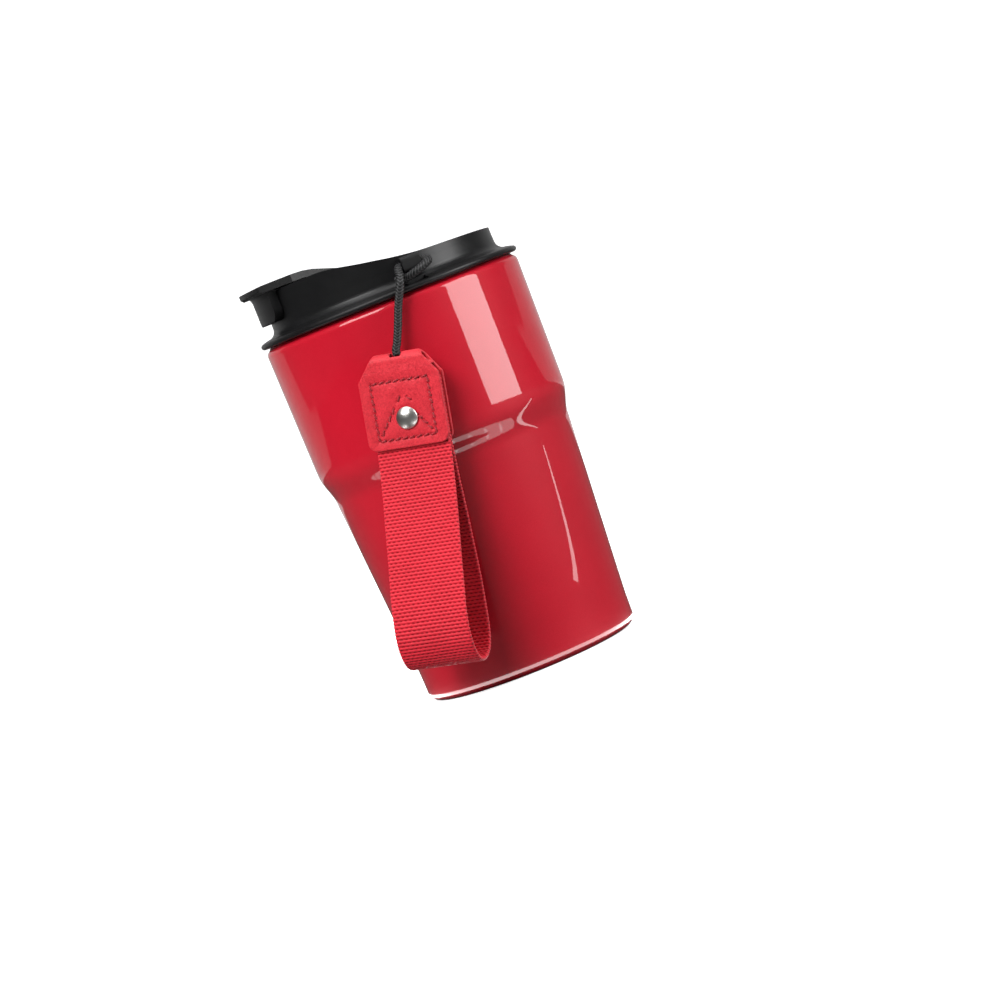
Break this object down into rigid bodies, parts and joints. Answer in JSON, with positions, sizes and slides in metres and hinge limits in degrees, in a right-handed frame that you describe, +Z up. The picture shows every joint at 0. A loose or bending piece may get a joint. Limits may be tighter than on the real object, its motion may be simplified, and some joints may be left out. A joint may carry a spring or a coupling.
{
  "type": "insulated travel mug",
  "caption": "Double-wall steel travel mug with a stepped waist, screw lid, flip flap over the spout, and a leather-and-webbing wrist strap hung from a lug on the lid.",
  "frame": {"origin": "centre of the face that the mug stands on", "axes": "+Z up along the mug's axis; -X towards the drinking spout and the flap's thumb tab; -Y towards the strap lug"},
  "size_m": [0.0981, 0.104, 0.1472],
  "materials": {
    "lacquer": "high gloss",
    "steel": "brushed",
    "dull_steel": "bead blasted",
    "solder": "matte",
    "lid_black": "satin",
    "silicone": "matte",
    "pin_steel": "polished",
    "cord_black": "braided, matte",
    "leather_red": "fine grain, satin",
    "webbing_red": "ribbed weave",
    "rivet_nickel": "polished nickel",
    "thread_red": "matte"
  },
  "bodies": {
    "mug": {"outer_shell": "lacquer", "inner_liner": "steel", "base_plate": "dull_steel", "base_cover": "steel", "vacuum_getter": "dull_steel", "vacuum_seal": "solder"},
    "seal_ring": {"lid_gasket": "silicone"},
    "lid": {"lid_shell": "lid_black", "lid_plug": "lid_black", "flap_pin": "pin_steel", "cord_hitch": "cord_black"},
    "flap": {"flap": "lid_black", "spout_stopper": "silicone", "vent_stopper": "silicone"},
    "cord": {"cord_strands": "cord_black"},
    "strap": {"leather_tab": "leather_red", "webbing_loop": "webbing_red", "rivet_cap": "rivet_nickel", "rivet_post": "rivet_nickel", "stitching": "thread_red"}
  },
  "joints": [
    {"name": "lid_lift", "type": "slide", "parent": "mug", "child": "seal_ring", "axis": [0, 0, 1], "range_m": [0, 0.0181]},
    {"name": "lid_turn", "type": "hinge", "parent": "seal_ring", "child": "lid", "pos_m": [0, 0, 0.12], "axis": [0, 0, 1], "range_deg": [0, 720]},
    {"name": "flap_open", "type": "hinge", "parent": "lid", "child": "flap", "pos_m": [-0.0045, 0, 0.1384], "axis": [0, 1, 0], "range_deg": [0, 165]},
    {"name": "cord_swing", "type": "hinge", "parent": "lid", "child": "cord", "pos_m": [-0.0101, -0.0459, 0.1286], "axis": [0.7986, -0.6018, 0], "range_deg": [-90, 0]},
    {"name": "strap_sway", "type": "hinge", "parent": "cord", "child": "strap", "pos_m": [-0.0182, -0.0453, 0.1116], "axis": [-0.6018, -0.7986, 0], "range_deg": [-20, 20]}
  ],
  "couplings": [
    {"joint": "lid_lift", "follows": "lid_turn", "m_per_rad": 0.0014324}
  ]
}
